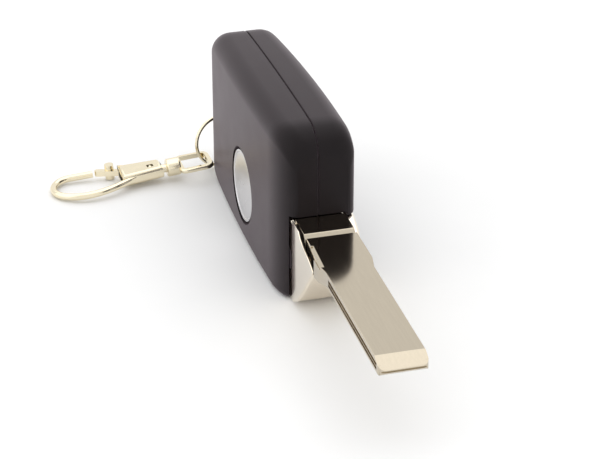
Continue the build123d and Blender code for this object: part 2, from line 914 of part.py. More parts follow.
parts = {
    "rear_shell": rear_shell.part,
    "front_shell": front_shell.part,
    "emblem_disc": emblem_disc.part,
    "blade_hub": blade_hub.part,
    "blade": blade.part,
    "blade_pin": blade_pin.part,
    "release_button": release_button.part,
    "flip_spring": flip_spring.part,
    "circuit_board": circuit_board.part,
    "tact_switches": tact_switches.part,
    "controller_chip": controller_chip.part,
    "antenna_coil": antenna_coil.part,
    "coin_cell": coin_cell.part,
    "spring_contact": spring_contact.part,
    "clip_contact": clip_contact.part,
    "transponder_chip": transponder_chip.part,
    "ring_bail": ring_bail.part,
    "key_ring": key_ring.part,
    "swivel_eye": swivel_eye.part,
    "hook_body": hook_body.part,
    "hook_gate": hook_gate.part,
    "gate_pin": gate_pin.part,
    "gate_spring": gate_spring.part,
}
parts.update(button_parts)
for name, piece in parts.items():
    piece.label = name
    export_step(piece, f"parts/{name}.step")
    print(name, round(piece.volume, 2), len(piece.solids()))
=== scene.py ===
import math

import bmesh
import bpy
from mathutils import Matrix, Vector


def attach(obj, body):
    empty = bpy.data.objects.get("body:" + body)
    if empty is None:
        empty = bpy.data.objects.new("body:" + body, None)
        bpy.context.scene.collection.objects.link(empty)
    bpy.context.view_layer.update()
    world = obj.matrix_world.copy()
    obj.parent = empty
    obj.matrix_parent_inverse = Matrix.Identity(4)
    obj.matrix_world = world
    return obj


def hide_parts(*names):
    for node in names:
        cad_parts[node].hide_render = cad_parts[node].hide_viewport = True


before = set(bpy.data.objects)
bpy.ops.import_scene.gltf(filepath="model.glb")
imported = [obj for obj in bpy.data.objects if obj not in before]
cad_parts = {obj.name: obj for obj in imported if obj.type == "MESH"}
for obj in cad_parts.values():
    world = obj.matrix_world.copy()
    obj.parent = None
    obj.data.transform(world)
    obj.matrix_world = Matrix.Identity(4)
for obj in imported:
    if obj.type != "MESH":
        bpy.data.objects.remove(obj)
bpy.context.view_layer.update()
scene = bpy.context.scene
millimetre = 0.001  # the shapes of pieces are given in millimetres, everything else in metres


# Camera, as the photograph was taken
def lookFrom(place, ahead):
    ahead = Vector(ahead).normalized()
    right = ahead.cross(Vector((0, 0, 1))).normalized()
    up = right.cross(ahead)
    turn = Matrix((right, up, -ahead)).transposed().to_4x4()
    return Matrix.Translation(place) @ turn


cameraSettings = {
    "place": (-0.1067, -0.3782, 0.2260),
    "ahead": (0.2353, 0.8485, -0.4741),
    "lens": 135.3,
    "sensor": 36.0,
    "clip": (0.01, 20),
}
cameraData = bpy.data.cameras.new("photoCamera")
camera = bpy.data.objects.new("photoCamera", cameraData)
scene.collection.objects.link(camera)
camera.matrix_world = lookFrom(cameraSettings["place"], cameraSettings["ahead"])
cameraData.lens = cameraSettings["lens"]
cameraData.sensor_width = cameraSettings["sensor"]
cameraData.clip_start, cameraData.clip_end = cameraSettings["clip"]
scene.camera = camera
print("camera placed")


# Materials
def newMaterial(name, baseColor, roughness, metallic=0.0):
    material = bpy.data.materials.new(name)
    material.use_nodes = True
    shader = material.node_tree.nodes["Principled BSDF"]
    shader.inputs["Base Color"].default_value = (*baseColor, 1)
    shader.inputs["Roughness"].default_value = roughness
    shader.inputs["Metallic"].default_value = metallic
    return material, shader


# the owner of the nodes is a material or the world
def addNode(owner, kind, **settings):
    node = owner.node_tree.nodes.new(kind)
    for key, value in settings.items():
        setattr(node, key, value)
    return node


def link(owner, source, target):
    owner.node_tree.links.new(source, target)


def objectNoise(material, scale, detail=3.0, stretch=(1, 1, 1)):
    coordinates = addNode(material, "ShaderNodeTexCoord")
    mapping = addNode(material, "ShaderNodeMapping")
    mapping.inputs["Scale"].default_value = stretch
    noise = addNode(material, "ShaderNodeTexNoise")
    noise.inputs["Scale"].default_value = scale
    noise.inputs["Detail"].default_value = detail
    link(material, coordinates.outputs["Object"], mapping.inputs["Vector"])
    link(material, mapping.outputs["Vector"], noise.inputs["Vector"])
    return noise


def stripes(material, scale, axis, distortion=0.0):
    coordinates = addNode(material, "ShaderNodeTexCoord")
    wave = addNode(material, "ShaderNodeTexWave", bands_direction=axis)
    wave.inputs["Scale"].default_value = scale
    wave.inputs["Distortion"].default_value = distortion
    link(material, coordinates.outputs["Object"], wave.inputs["Vector"])
    return wave


def addBump(material, shader, height, strength, distance):
    bump = addNode(material, "ShaderNodeBump")
    bump.inputs["Strength"].default_value = strength
    bump.inputs["Distance"].default_value = distance
    link(material, height, bump.inputs["Height"])
    link(material, bump.outputs["Normal"], shader.inputs["Normal"])


def spreadColor(material, shader, factor, low, high):
    ramp = addNode(material, "ShaderNodeValToRGB")
    start, end = ramp.color_ramp.elements
    start.position, end.position = 0.3, 0.7
    start.color = (*low, 1)
    end.color = (*high, 1)
    link(material, factor, ramp.inputs["Fac"])
    link(material, ramp.outputs["Color"], shader.inputs["Base Color"])


def spreadRoughness(material, shader, factor, low, high):
    span = addNode(material, "ShaderNodeMapRange")
    span.inputs["To Min"].default_value = low
    span.inputs["To Max"].default_value = high
    link(material, factor, span.inputs["Value"])
    link(material, span.outputs["Result"], shader.inputs["Roughness"])


# grained black plastic with a faint warm sheen
casingLook = {
    "dark": (0.0048, 0.0034, 0.0037),
    "pale": (0.0080, 0.0058, 0.0063),
    "rough": (0.36, 0.46),
    "indexOfRefraction": 1.23,
    "sheen": 0.18,
    "sheenTint": (1.0, 0.80, 0.90),
    "mottleScale": 140,
    "grainScale": 5200,
    "grainDepth": 0.00003,
    "grainStrength": 0.22,
}
casingPlastic, shader = newMaterial("casingPlastic", casingLook["dark"], roughness=0.4)
shader.inputs["IOR"].default_value = casingLook["indexOfRefraction"]
shader.inputs["Sheen Weight"].default_value = casingLook["sheen"]
shader.inputs["Sheen Tint"].default_value = (*casingLook["sheenTint"], 1)
mottle = objectNoise(casingPlastic, casingLook["mottleScale"]).outputs["Fac"]
spreadColor(casingPlastic, shader, mottle, casingLook["dark"], casingLook["pale"])
spreadRoughness(casingPlastic, shader, mottle, *casingLook["rough"])
grain = objectNoise(casingPlastic, casingLook["grainScale"], detail=2.0).outputs["Fac"]
addBump(casingPlastic, shader, grain, casingLook["grainStrength"], casingLook["grainDepth"])

rubberLook = {
    "dark": (0.016, 0.015, 0.015),
    "pale": (0.024, 0.022, 0.022),
    "rough": (0.60, 0.76),
    "grainScale": 900,
    "grainDepth": 0.00003,
    "grainStrength": 0.2,
}
buttonRubber, shader = newMaterial("buttonRubber", rubberLook["dark"], roughness=0.6)
grain = objectNoise(buttonRubber, rubberLook["grainScale"]).outputs["Fac"]
spreadColor(buttonRubber, shader, grain, rubberLook["dark"], rubberLook["pale"])
spreadRoughness(buttonRubber, shader, grain, *rubberLook["rough"])
addBump(buttonRubber, shader, grain, rubberLook["grainStrength"], rubberLook["grainDepth"])

# polished metals: faint drawing lines and patches of wear
metalLooks = {
    "hubChrome": {"tone": (0.94, 0.86, 0.73), "rough": (0.06, 0.13), "scale": 300},
    "bladeNickel": {
        "tone": (0.555, 0.490, 0.385), "rough": (0.07, 0.14), "scale": 420, "stretch": (5, 0.3, 5),
    },
    "emblemSilver": {"tone": (0.66, 0.65, 0.66), "rough": (0.24, 0.34), "scale": 380},
    "hookNickel": {"tone": (0.88, 0.79, 0.59), "rough": (0.10, 0.22), "scale": 420},
    "springSteel": {"tone": (0.50, 0.50, 0.51), "rough": (0.25, 0.40), "scale": 600},
    "cellSteel": {
        "tone": (0.62, 0.62, 0.60), "rough": (0.22, 0.36), "scale": 500, "stretch": (1, 6, 1),
    },
    "contactBrass": {"tone": (0.76, 0.58, 0.28), "rough": (0.20, 0.34), "scale": 500},
}
wearLook = {"dimming": 0.96, "detail": 4.0, "depth": 0.00002, "strength": 0.04}
metals = {}
for name, look in metalLooks.items():
    metals[name], shader = newMaterial(name, look["tone"], look["rough"][0], metallic=1.0)
    stretch = look.get("stretch", (1, 1, 1))
    wear = objectNoise(metals[name], look["scale"], wearLook["detail"], stretch).outputs["Fac"]
    spreadRoughness(metals[name], shader, wear, *look["rough"])
    dimmed = [wearLook["dimming"] * part for part in look["tone"]]
    spreadColor(metals[name], shader, wear, dimmed, look["tone"])
    addBump(metals[name], shader, wear, wearLook["strength"], wearLook["depth"])

# what only shows when the casing is opened
boardLook = {"mask": (0.010, 0.075, 0.030), "track": (0.030, 0.140, 0.055), "trackScale": 260}
boardGreen, shader = newMaterial("boardGreen", boardLook["mask"], roughness=0.35)
tracks = stripes(boardGreen, boardLook["trackScale"], "Y", distortion=2.0).outputs["Fac"]
spreadColor(boardGreen, shader, tracks, boardLook["mask"], boardLook["track"])
addBump(boardGreen, shader, tracks, strength=0.3, distance=0.00003)

chipLook = {
    "middle": (0.014, 0.014, 0.015),
    "dark": (0.010, 0.010, 0.011),
    "pale": (0.026, 0.025, 0.025),
    "rough": (0.4, 0.65),
    "speckleScale": 1500,
}
componentBlack, shader = newMaterial("componentBlack", chipLook["middle"], roughness=0.5)
speckle = objectNoise(componentBlack, chipLook["speckleScale"]).outputs["Fac"]
spreadColor(componentBlack, shader, speckle, chipLook["dark"], chipLook["pale"])
spreadRoughness(componentBlack, shader, speckle, *chipLook["rough"])

coilLook = {
    "middle": (0.62, 0.27, 0.10),
    "between": (0.30, 0.10, 0.04),
    "wire": (0.72, 0.33, 0.13),
    "windingScale": 900,
}
coilCopper, shader = newMaterial("coilCopper", coilLook["middle"], roughness=0.3, metallic=0.9)
windings = stripes(coilCopper, coilLook["windingScale"], "Z").outputs["Fac"]
spreadColor(coilCopper, shader, windings, coilLook["between"], coilLook["wire"])
addBump(coilCopper, shader, windings, strength=0.6, distance=0.00008)

# the finish of every CAD node
nodeFinish = {
    "rear_shell": casingPlastic,
    "front_shell": casingPlastic,
    "lock_button": buttonRubber,
    "unlock_button": buttonRubber,
    "trunk_button": buttonRubber,
    "emblem_disc": metals["emblemSilver"],
    "blade_hub": metals["hubChrome"],
    "release_button": metals["hubChrome"],
    "blade": metals["bladeNickel"],
    "ring_bail": metals["hookNickel"],
    "key_ring": metals["hookNickel"],
    "swivel_eye": metals["hookNickel"],
    "hook_body": metals["hookNickel"],
    "hook_gate": metals["hookNickel"],
    "gate_pin": metals["hookNickel"],
    "gate_spring": metals["springSteel"],
    "flip_spring": metals["springSteel"],
    "blade_pin": metals["springSteel"],
    "coin_cell": metals["cellSteel"],
    "spring_contact": metals["contactBrass"],
    "clip_contact": metals["contactBrass"],
    "circuit_board": boardGreen,
    "tact_switches": componentBlack,
    "controller_chip": componentBlack,
    "transponder_chip": componentBlack,
    "antenna_coil": coilCopper,
}
for name, material in nodeFinish.items():
    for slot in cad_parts[name].material_slots:
        slot.material = material
print("materials made")


# Modelling helpers
def selectOnly(piece):
    bpy.ops.object.select_all(action="DESELECT")
    piece.select_set(True)
    bpy.context.view_layer.objects.active = piece


def startEditing(piece):
    selectOnly(piece)
    bpy.ops.object.mode_set(mode="EDIT")
    bpy.ops.mesh.select_mode(type="FACE")
    bpy.ops.mesh.select_all(action="SELECT")


def stopEditing():
    bpy.ops.object.mode_set(mode="OBJECT")


# selects the faces or edges that pass a test of their corners' places, in millimetres
def choose(kind, test):
    bpy.ops.mesh.select_mode(type=kind)
    bpy.ops.mesh.select_all(action="DESELECT")
    data = bpy.context.object.data
    mesh = bmesh.from_edit_mesh(data)
    for part in {"EDGE": mesh.edges, "FACE": mesh.faces}[kind]:
        places = [corner.co / millimetre for corner in part.verts]
        if test(part, places):
            part.select_set(True)
    mesh.select_flush_mode()
    bmesh.update_edit_mesh(data)


def within(places, axis, low, high):
    return all(low <= place[axis] <= high for place in places)


def onLevel(places, axis, level, slack=0.1):
    return within(places, axis, level - slack, level + slack)


def applyModifier(piece, kind, **settings):
    selectOnly(piece)
    change = piece.modifiers.new(kind.lower(), kind)
    for key, value in settings.items():
        setattr(change, key, value)
    bpy.ops.object.modifier_apply(modifier=change.name)


def smoothShade(piece, angle=35):
    selectOnly(piece)
    bpy.ops.object.shade_smooth_by_angle(angle=math.radians(angle))
    applyModifier(piece, "WEIGHTED_NORMAL", keep_sharp=True)


def finishPiece(piece, material, body, slotName, *nodes):
    piece.data.materials.clear()
    piece.data.materials.append(material)
    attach(piece, body)
    if nodes:
        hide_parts(*nodes)


# the angles of an arc in equal steps
def turnSteps(degrees, steps):
    return [math.radians(degrees * step / steps) for step in range(steps + 1)]


def nameAndApply(name):
    piece = bpy.context.object
    piece.name = name
    bpy.ops.object.transform_apply(location=True, rotation=True, scale=True)
    return piece


# a box between two corners, turned about its middle where a rotation is given
def addBlock(name, low, high, rotation=(0, 0, 0)):
    bpy.ops.object.select_all(action="DESELECT")
    middle = [(a + b) / 2 * millimetre for a, b in zip(low, high)]
    bpy.ops.mesh.primitive_cube_add(size=1, location=middle, rotation=rotation)
    bpy.context.object.scale = [(b - a) * millimetre for a, b in zip(low, high)]
    return nameAndApply(name)


def placeRing(points):
    data = bpy.context.object.data
    mesh = bmesh.from_edit_mesh(data)
    face = [face for face in mesh.faces if face.select][0]
    for corner, point in zip(face.loops, points):
        corner.vert.co = point
    bmesh.update_edit_mesh(data)


# one face with its corners at the points, left in edit mode for extruding
def startRing(name, points, rotation):
    bpy.ops.object.select_all(action="DESELECT")
    bpy.ops.mesh.primitive_circle_add(
        vertices=len(points), radius=0.01, fill_type="NGON", rotation=rotation
    )
    piece = nameAndApply(name)
    startEditing(piece)
    placeRing(points)
    return piece


def extrudeBy(x, y, z):
    step = (x * millimetre, y * millimetre, z * millimetre)
    bpy.ops.mesh.extrude_region_move(TRANSFORM_OT_translate={"value": step})


def moveBy(x, y, z):
    bpy.ops.transform.translate(value=(x * millimetre, y * millimetre, z * millimetre))


# a flat plate across X, from points of its side view
def addPlate(name, points, near, far):
    ring = [Vector((near, y, z)) * millimetre for y, z in points]
    piece = startRing(name, ring, rotation=(0, math.pi / 2, 0))
    extrudeBy(far - near, 0, 0)
    bpy.ops.mesh.select_all(action="SELECT")
    bpy.ops.mesh.normals_make_consistent(inside=False)
    stopEditing()
    return piece


def copyNode(nodeName, pieceName):
    piece = bpy.data.objects.new(pieceName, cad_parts[nodeName].data.copy())
    scene.collection.objects.link(piece)
    selectOnly(piece)
    bpy.ops.mesh.customdata_custom_splitnormals_clear()
    startEditing(piece)
    bpy.ops.mesh.remove_doubles(threshold=0.000001)
    stopEditing()
    return piece


# the other object is used up
def joinCut(piece, other, operation):
    applyModifier(piece, "BOOLEAN", operation=operation, solver="MANIFOLD", object=other)
    bpy.data.objects.remove(other)


# bevels the outward edges that turn by more than the least angle
def softenEdges(piece, width, segments, leastAngle=35, leastLength=0.0, area=None):
    shortest = leastLength * millimetre

    def turns(edge, places):
        if len(edge.link_faces) != 2 or not edge.is_convex or edge.calc_length() < shortest:
            return False
        if area and not area(places):
            return False
        return edge.calc_face_angle(0) > math.radians(leastAngle)

    startEditing(piece)
    choose("EDGE", turns)
    bpy.ops.mesh.bevel(
        offset=width * millimetre, segments=segments, affect="EDGES", clamp_overlap=False
    )
    bpy.ops.mesh.select_all(action="SELECT")
    bpy.ops.mesh.remove_doubles(threshold=0.000002)
    stopEditing()


# joins faces that lie in one plane
def simplify(piece):
    startEditing(piece)
    bpy.ops.mesh.dissolve_limited(angle_limit=math.radians(0.6))
    stopEditing()


# Casing: each moulded half has soft edges all round and a fine groove at the seam
casingShape = {
    "headY": -2.5,
    "bulgeY": 22.0,
    "farY": 60.5,
    "width": 36.3,
    "archRadius": 700.0,
    "headCorners": (3.0, 6.0),  # low corner, top corner
    "farCorners": (10.0, 9.0),
    "lowRound": 1.5,
    "topRound": 3.8,
    "mostRound": 0.85,  # share of the half's depth
    "farRound": 6.0,
    "inside": 0.04,  # how far the form lies inside the CAD half
    "seamGap": 0.11,
    "seamBevel": 0.22,
    "cheekRoom": ((-5.62, -2.8, 5), (-5.31, 1.4, 14)),
}
# the depths are near the head, at the bulge and at the far end, and the head sweeps back to flat
casingHalves = {
    "rearCasing": {
        "node": "rear_shell", "side": -1, "depths": (7.8, 8.1, 6.9), "flat": 3.6, "sweep": 9.0,
    },
    "frontCasing": {
        "node": "front_shell", "side": 1, "depths": (7.6, 7.7, 6.2), "flat": 5.5, "sweep": 2.1,
    },
}
headStations = [-2.46, -2.3, -2.0, -1.5, -0.8, 0.2, 1.5, 3.0, 4.8, 6.5]
middleStations = [10, 14, 18, 22, 26, 30, 34, 38, 42, 46, 49.5]
farStations = [51.5, 53, 54.5, 56, 57.2, 58.2, 59, 59.6, 60.05, 60.4]


# how far a round corner has fallen away, at one distance into the corner
def cornerDrop(radius, into):
    into = min(max(into, 0), radius)
    return radius - math.sqrt(radius**2 - into**2)


def casingHeights(y):
    shape = casingShape
    intoHead = [shape["headY"] + corner - y for corner in shape["headCorners"]]
    intoFar = [y - shape["farY"] + corner for corner in shape["farCorners"]]
    low = cornerDrop(shape["headCorners"][0], intoHead[0])
    low += cornerDrop(shape["farCorners"][0], intoFar[0])
    top = shape["width"] - y**2 / (2 * shape["archRadius"])
    top -= cornerDrop(shape["headCorners"][1], intoHead[1])
    top -= cornerDrop(shape["farCorners"][1], intoFar[1])
    return low + shape["inside"], top - shape["inside"]


def casingDepth(y, half):
    near, middle, far = half["depths"]
    nearY = casingShape["headY"] + half["sweep"]
    bulgeY, endY = casingShape["bulgeY"], casingShape["farY"]
    if y < nearY:
        reach = min((nearY - y) / half["sweep"], 1)
        depth = half["flat"] + (near - half["flat"]) * math.sqrt(1 - reach**2)
    else:
        # a parabola through the three depths
        depth = near * (y - bulgeY) * (y - endY) / ((nearY - bulgeY) * (nearY - endY))
        depth += middle * (y - nearY) * (y - endY) / ((bulgeY - nearY) * (bulgeY - endY))
        depth += far * (y - nearY) * (y - bulgeY) / ((endY - nearY) * (endY - bulgeY))
        farRound = casingShape["farRound"]
        depth -= cornerDrop(farRound, y - endY + farRound)
    return depth - casingShape["inside"]


def casingSection(y, half):
    low, top = casingHeights(y)
    depth = casingDepth(y, half)
    seam = casingShape["seamGap"]
    room = casingShape["mostRound"] * depth
    lowRound = min(casingShape["lowRound"], room)
    topRound = min(casingShape["topRound"], room)
    points = [(seam, low)]
    for turn in turnSteps(90, 5):
        x = depth - lowRound * (1 - math.sin(turn))
        points.append((x, low + lowRound * (1 - math.cos(turn))))
    for turn in turnSteps(90, 9):
        x = depth - topRound * (1 - math.cos(turn))
        points.append((x, top - topRound * (1 - math.sin(turn))))
    points.append((seam, top))
    return [Vector((half["side"] * x, y, z)) * millimetre for x, z in points]


def casingForm(half):
    stations = headStations + middleStations + farStations
    first = casingSection(stations[0], half)
    form = startRing("casingForm", first, rotation=(math.pi / 2, 0, 0))
    for before, y in zip(stations, stations[1:]):
        extrudeBy(0, y - before, 0)
        placeRing(casingSection(y, half))
    bpy.ops.mesh.select_all(action="SELECT")
    bpy.ops.mesh.normals_make_consistent(inside=False)
    # the flat side becomes one face, then its rim gets the seam's bevel
    seam = casingShape["seamGap"] + 0.001
    choose("FACE", lambda face, places: onLevel(places, 0, 0, slack=seam))
    bpy.ops.mesh.dissolve_faces()
    choose("EDGE", lambda edge, places: onLevel(places, 0, 0, slack=seam))
    bevel = casingShape["seamBevel"] * millimetre
    bpy.ops.mesh.bevel(offset=bevel, offset_type="OFFSET", segments=2, affect="EDGES")
    stopEditing()
    return form


for pieceName, half in casingHalves.items():
    form = casingForm(half)
    piece = copyNode(half["node"], pieceName)
    joinCut(piece, form, "INTERSECT")
    if pieceName == "rearCasing":
        joinCut(piece, addBlock("cheekRoom", *casingShape["cheekRoom"]), "DIFFERENCE")
    smoothShade(piece, angle=32)
    finishPiece(piece, casingPlastic, "casing", "casing_plastic", half["node"])
    print(pieceName, "has", len(piece.data.polygons), "faces")


# Blade: polished blank with rounded tip corners, two grooves a side and a bright shoulder tab
bladeLook = {
    "halfWidth": 4.65,
    "tipY": -57.2,
    "tipRound": 1.3,
    "shoulderY": -24.4,
    "shoulderStep": 0.5,
    "shoulderFlare": 1.3,  # times the blade's width
    "headY": -9.75,
    "planZ": (10, 19),  # below and above the blank
    "fillerDepth": 0.9,
    "filler": (  # along Y and Z
        (-57.19, 16.35), (-57.19, 16.89), (-56.6, 17.39), (-55.4, 17.94), (-24.4, 17.94),
        (-24.4, 16.35),
    ),
    "grooveDepth": 0.45,
    "grooveY": (-55.6, -25.5),
    "grooveZ": ((16.4, 16.98), (17.14, 17.75)),
    "tipGroove": ((-5, -58, 16.45), (5, -56.85, 16.8)),  # a box by two of its corners
    "cheekSlot": ((-5.6, -17.9, 13.0), (-4.6, -9, 19)),
    "dip": ((-6, -10.9, 17.75), (6, -9, 19.5)),
    "dipSlope": 0.8,
    "tabChamfer": 0.8,
    "tabEdge": (-4.9, 18.5),  # along X and Z
    "tabY": (-21.75, -13.45),
    "tabTaper": (-0.2, 0.1),
    "edgeSoftness": 0.14,
    "softY": (-60, -10.6),
    "softZ": ((18.1, 19), (13, 15.9)),
}


# the blade's outline from above, as a block that flares at the shoulders
def bladePlan():
    look = bladeLook
    sideX = look["halfWidth"] + 0.01
    tipY, shoulderY = look["tipY"], look["shoulderY"]
    lowZ, highZ = look["planZ"]
    plan = addBlock("bladePlan", (-sideX, tipY, lowZ), (sideX, shoulderY, highZ))

    def uprightAtTip(edge, places):
        return onLevel(places, 1, tipY) and abs(places[0].z - places[1].z) > 1

    startEditing(plan)
    choose("FACE", lambda face, places: onLevel(places, 1, shoulderY))
    extrudeBy(0, look["shoulderStep"], 0)
    bpy.ops.transform.resize(value=(look["shoulderFlare"], 1, 1))
    extrudeBy(0, look["headY"] - shoulderY - look["shoulderStep"], 0)
    choose("EDGE", uprightAtTip)
    bpy.ops.mesh.bevel(offset=look["tipRound"] * millimetre, segments=6, affect="EDGES")
    stopEditing()
    return plan


# two depths in one side of the blade, as places in order along X
def sideSpan(side, depth, otherDepth):
    halfWidth = bladeLook["halfWidth"]
    return sorted((side * (halfWidth - depth), side * (halfWidth - otherDepth)))


bladeBlank = copyNode("blade", "bladeBlank")
simplify(bladeBlank)
# the CAD grooves are filled, the blank gets its outline, and the real grooves are cut
for side in (-1, 1):
    lowX, highX = sideSpan(side, 0, bladeLook["fillerDepth"])
    joinCut(bladeBlank, addPlate("grooveFiller", bladeLook["filler"], lowX, highX), "UNION")
joinCut(bladeBlank, bladePlan(), "INTERSECT")
startY, endY = bladeLook["grooveY"]
for side in (-1, 1):
    lowX, highX = sideSpan(side, -0.2, bladeLook["grooveDepth"])
    for low, high in bladeLook["grooveZ"]:
        groove = addBlock("groove", (lowX, startY, low), (highX, endY, high))
        joinCut(bladeBlank, groove, "DIFFERENCE")
joinCut(bladeBlank, addBlock("tipGroove", *bladeLook["tipGroove"]), "DIFFERENCE")
joinCut(bladeBlank, addBlock("cheekSlot", *bladeLook["cheekSlot"]), "DIFFERENCE")

# the dip before the hub's land has a sloped front
dip = addBlock("dip", *bladeLook["dip"])
dipY, dipZ = bladeLook["dip"][0][1:]
startEditing(dip)
choose("EDGE", lambda edge, places: onLevel(places, 1, dipY) and onLevel(places, 2, dipZ))
moveBy(0, bladeLook["dipSlope"], 0)
stopEditing()
joinCut(bladeBlank, dip, "DIFFERENCE")

# a square bar, turned onto its edge, cuts the chamfer of the tab on the left shoulder
halfSide = bladeLook["tabChamfer"] * math.sqrt(2) / 2
edgeX, edgeZ = bladeLook["tabEdge"]
startY, endY = bladeLook["tabY"]
taperX, taperZ = bladeLook["tabTaper"]
chamfer = addBlock(
    "chamfer",
    (edgeX - halfSide, startY, edgeZ - halfSide),
    (edgeX + halfSide, endY, edgeZ + halfSide),
    rotation=(0, math.pi / 4, 0),
)
startEditing(chamfer)
choose("FACE", lambda face, places: onLevel(places, 1, startY))
moveBy(taperX, 0, taperZ)
stopEditing()
joinCut(bladeBlank, chamfer, "DIFFERENCE")


def softBladeEdges(places):
    highOrLow = any(within(places, 2, low, high) for low, high in bladeLook["softZ"])
    return highOrLow and within(places, 1, *bladeLook["softY"])


softenEdges(
    bladeBlank, bladeLook["edgeSoftness"], segments=2, leastAngle=24, leastLength=0.25,
    area=softBladeEdges,
)
smoothShade(bladeBlank, angle=30)
finishPiece(bladeBlank, metals["bladeNickel"], "blade", "blade_steel", "blade")
print("blade modelled")

# Hub: rounded barrel and nose, a land with a bright front bevel, a cheek plate, and a black plate
# behind the cheek as painted shade
hubLook = {
    "noseRound": 0.5,
    "noseX": (-5.4, 5.4),
    "noseY": (-17, -3),
    "noseZ": (-1, 13.6),
    "land": ((-4.72, -9.7, 15.2), (5.28, -2.7, 18.7)),
    "landBevel": 0.78,
    "cheekX": -5.34,
    "cheekThick": 0.22,
    # the black plate of painted shade in the gap behind the cheek
    "gapShadeX": (-5.13, -4.74),
    "gapShadeBack": 0.3,
    "gapShadeDrop": 0.55,
}
# side view of the cheek, from the land forwards and back under the nose
cheekTop = [
    (-2.7, 18.5), (-6.5, 18.45), (-7.0, 18.2), (-7.6, 17.7), (-8.3, 17.25), (-10, 16.8),
    (-12, 16.4), (-13.8, 16.05), (-15.6, 15.6), (-17.2, 15.0),
]
cheekFoot = [
    (-16.3, 13.7), (-14.0, 11.3), (-8.6, 5.3), (-7.4, 4.1), (-6.0, 2.6), (-4.4, 1.45),
    (-2.7, 0.75),
]
gapShadeFoot = [(-15.6, 14.2), (-2.7, 14.2)]


def noseEdges(places):
    spans = (hubLook["noseX"], hubLook["noseY"], hubLook["noseZ"])
    return all(within(places, axis, *span) for axis, span in enumerate(spans))


hubBarrel = copyNode("blade_hub", "hubBarrel")
simplify(hubBarrel)
softenEdges(
    hubBarrel, hubLook["noseRound"], segments=5, leastAngle=30, leastLength=3.0, area=noseEdges
)
smoothShade(hubBarrel, angle=30)
finishPiece(hubBarrel, metals["hubChrome"], "blade", "hub_chrome", "blade_hub")

hubLand = addBlock("hubLand", *hubLook["land"])
frontY, landTop = hubLook["land"][0][1], hubLook["land"][1][2]
startEditing(hubLand)
choose("EDGE", lambda edge, places: onLevel(places, 1, frontY) and onLevel(places, 2, landTop))
bpy.ops.mesh.bevel(offset=hubLook["landBevel"] * millimetre, segments=1, affect="EDGES")
stopEditing()
softenEdges(hubLand, width=0.12, segments=2)
smoothShade(hubLand)
finishPiece(hubLand, metals["bladeNickel"], "blade", "hub_chrome")

cheekX = hubLook["cheekX"]
hubCheek = addPlate("hubCheek", cheekTop + cheekFoot, cheekX, cheekX + hubLook["cheekThick"])
softenEdges(hubCheek, width=0.07, segments=2, leastAngle=60)
smoothShade(hubCheek)
finishPiece(hubCheek, metals["hubChrome"], "blade", "hub_chrome")

# a black plate between the cheek and the blade is painted shade: it darkens the gap where only
# shade falls
gapShadeTop = [(y + hubLook["gapShadeBack"], z - hubLook["gapShadeDrop"]) for y, z in cheekTop]
gapShadePlate = addPlate("gapShadePlate", gapShadeTop + gapShadeFoot, *hubLook["gapShadeX"])
softenEdges(gapShadePlate, width=0.05, segments=1, leastAngle=60)
smoothShade(gapShadePlate)
finishPiece(gapShadePlate, casingPlastic, "blade", "casing_plastic")
print("hub modelled")

# Silver disc: a rim, a fine groove and a slightly domed middle, left bare
discLook = {
    "radius": 7.5,
    "outerX": -7.9,
    "thickness": 0.8,
    "centre": (26.5, 12.0),  # along Y and Z
    "rings": (  # how far each goes in, and how far it then moves along X
        (0.45, 0.0), (0.18, 0.16), (0.18, -0.06), (1.2, -0.05), (1.6, -0.03), (1.8, -0.015),
        (1.4, -0.005),
    ),
}
outerX = discLook["outerX"]
middle = (outerX + discLook["thickness"] / 2, *discLook["centre"])
bpy.ops.object.select_all(action="DESELECT")
bpy.ops.mesh.primitive_cylinder_add(
    vertices=96,
    radius=discLook["radius"] * millimetre,
    depth=discLook["thickness"] * millimetre,
    location=[part * millimetre for part in middle],
    rotation=(0, math.pi / 2, 0),
)
emblemPlate = nameAndApply("emblemPlate")
startEditing(emblemPlate)
choose("FACE", lambda face, places: len(places) > 4 and onLevel(places, 0, outerX))
for inset, push in discLook["rings"]:
    bpy.ops.mesh.inset(thickness=inset * millimetre, depth=0)
    moveBy(push, 0, 0)
stopEditing()
softenEdges(emblemPlate, width=0.14, segments=2, leastAngle=60)
smoothShade(emblemPlate, angle=30)
finishPiece(emblemPlate, metals["emblemSilver"], "casing", "emblem_silver", "emblem_disc")
print("disc modelled")

# Push buttons: soft rims and an inlaid generic mark each
capLook = {
    "rimRound": 0.35,
    "rimDepth": 0.8,
    "clearX": 9,  # outside every cap
    "recess": 0.3,
    "sunk": 0.05,
    "markZ": 20.6,
    "paint": (0.60, 0.60, 0.58),
    "paintRough": (0.45, 0.65),
    "paintScale": 900,
}
markPaint, shader = newMaterial("markPaint", capLook["paint"], roughness=0.55)
brushing = objectNoise(markPaint, capLook["paintScale"]).outputs["Fac"]
spreadRoughness(markPaint, shader, brushing, *capLook["paintRough"])


# a padlock's shackle, with how far it is lifted and how much shorter its free leg is
def shackle(lift, shortLeg):
    outer, inner, foot, middle = 1.3, 0.8, 0.25, 1.0 + lift
    turns = turnSteps(180, 12)
    arch = [(-outer, foot)]
    arch += [(-outer * math.cos(turn), middle + outer * math.sin(turn)) for turn in turns]
    arch += [(outer, foot + shortLeg), (inner, foot + shortLeg)]
    arch += [(inner * math.cos(turn), middle + inner * math.sin(turn)) for turn in turns]
    arch.append((-inner, foot))
    return arch


